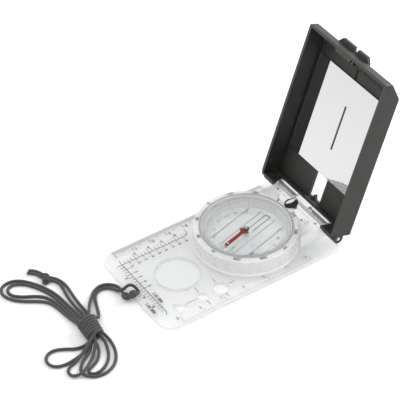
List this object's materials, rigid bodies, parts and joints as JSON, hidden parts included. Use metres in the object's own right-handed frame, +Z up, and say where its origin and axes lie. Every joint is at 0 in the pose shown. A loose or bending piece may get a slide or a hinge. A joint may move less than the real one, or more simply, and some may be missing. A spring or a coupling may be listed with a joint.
{
  "type": "sighting compass",
  "caption": "Mirror sighting compass: clear base plate with scales and reading lens, turning dial, swinging needle and clinometer, folding mirror lid and a hanked neck cord.",
  "frame": {"origin": "on the axis of the dial, on the flat underside of the base plate, which is also the bottom centre of the compass with its lid at the angle it is stored", "axes": "+X across the plate to the right when the user looks along the sighting line, +Y forward from the neck cord's end to the hinge, +Z up out of the plate"},
  "size_m": [0.0817, 0.1948, 0.0951],
  "materials": {
    "clear_acrylic": "clear, polished",
    "lens_acrylic": "clear, optical",
    "clear_capsule": "clear, polished",
    "ring_white": "translucent white, satin",
    "black_plastic": "moulded, fine grain",
    "index_black": "satin",
    "steel": "ground",
    "lume": "luminous paint",
    "lume_green": "luminous paint",
    "needle_red": "red enamel",
    "hub_black": "satin",
    "jewel": "polished stone",
    "clino_clear": "clear, tinted",
    "clino_orange": "printed",
    "mirror_glass": "silvered, polished",
    "adhesive": "adhesive film",
    "cord": "round braid"
  },
  "bodies": {
    "base": {"baseplate": "clear_acrylic", "magnifier_lens": "lens_acrylic", "index_pointer": "index_black", "index_lume": "lume", "lume_dot_left": "lume", "lume_dot_right": "lume", "hinge_pin": "steel", "lanyard_knot": "cord", "end_knot": "cord", "hank_body": "cord", "hank_loops_left": "cord", "hank_loops_right": "cord", "cord_loop_left": "cord", "cord_loop_right": "cord", "cord_lead_left": "cord", "cord_lead_right": "cord", "cord_free_left": "cord", "cord_free_right": "cord", "cord_tail_left": "cord", "cord_tail_right": "cord"},
    "dial": {"bezel_ring": "ring_white", "capsule_cup": "clear_capsule", "capsule_window": "clear_capsule", "retaining_ring": "clear_capsule", "orienting_disc": "clear_capsule", "north_lume_left": "lume_green", "north_lume_right": "lume_green", "pivot_pin": "steel"},
    "needle": {"compass_needle": "needle_red", "needle_lume": "lume", "needle_hub": "hub_black", "pivot_jewel": "jewel"},
    "clinometer": {"clinometer_arm": "clino_clear", "clinometer_tip": "clino_orange"},
    "lid": {"lid_cover": "black_plastic", "mirror_pad": "adhesive", "mirror": "mirror_glass"}
  },
  "joints": [
    {"name": "lid_hinge", "type": "hinge", "parent": "base", "child": "lid", "pos_m": [0, 0.035, 0.0077], "axis": [1, 0, 0], "range_deg": [-71.2, 108.8]},
    {"name": "dial_turn", "type": "hinge", "parent": "base", "child": "dial", "pos_m": [0, 0, 0], "axis": [0, 0, 1], "continuous": true},
    {"name": "needle_swing", "type": "hinge", "parent": "dial", "child": "needle", "pos_m": [0, 0, 0.0097], "axis": [0, 0, 1], "continuous": true},
    {"name": "clinometer_swing", "type": "hinge", "parent": "dial", "child": "clinometer", "pos_m": [0, 0, 0.008], "axis": [0, 0, 1], "continuous": true}
  ]
}
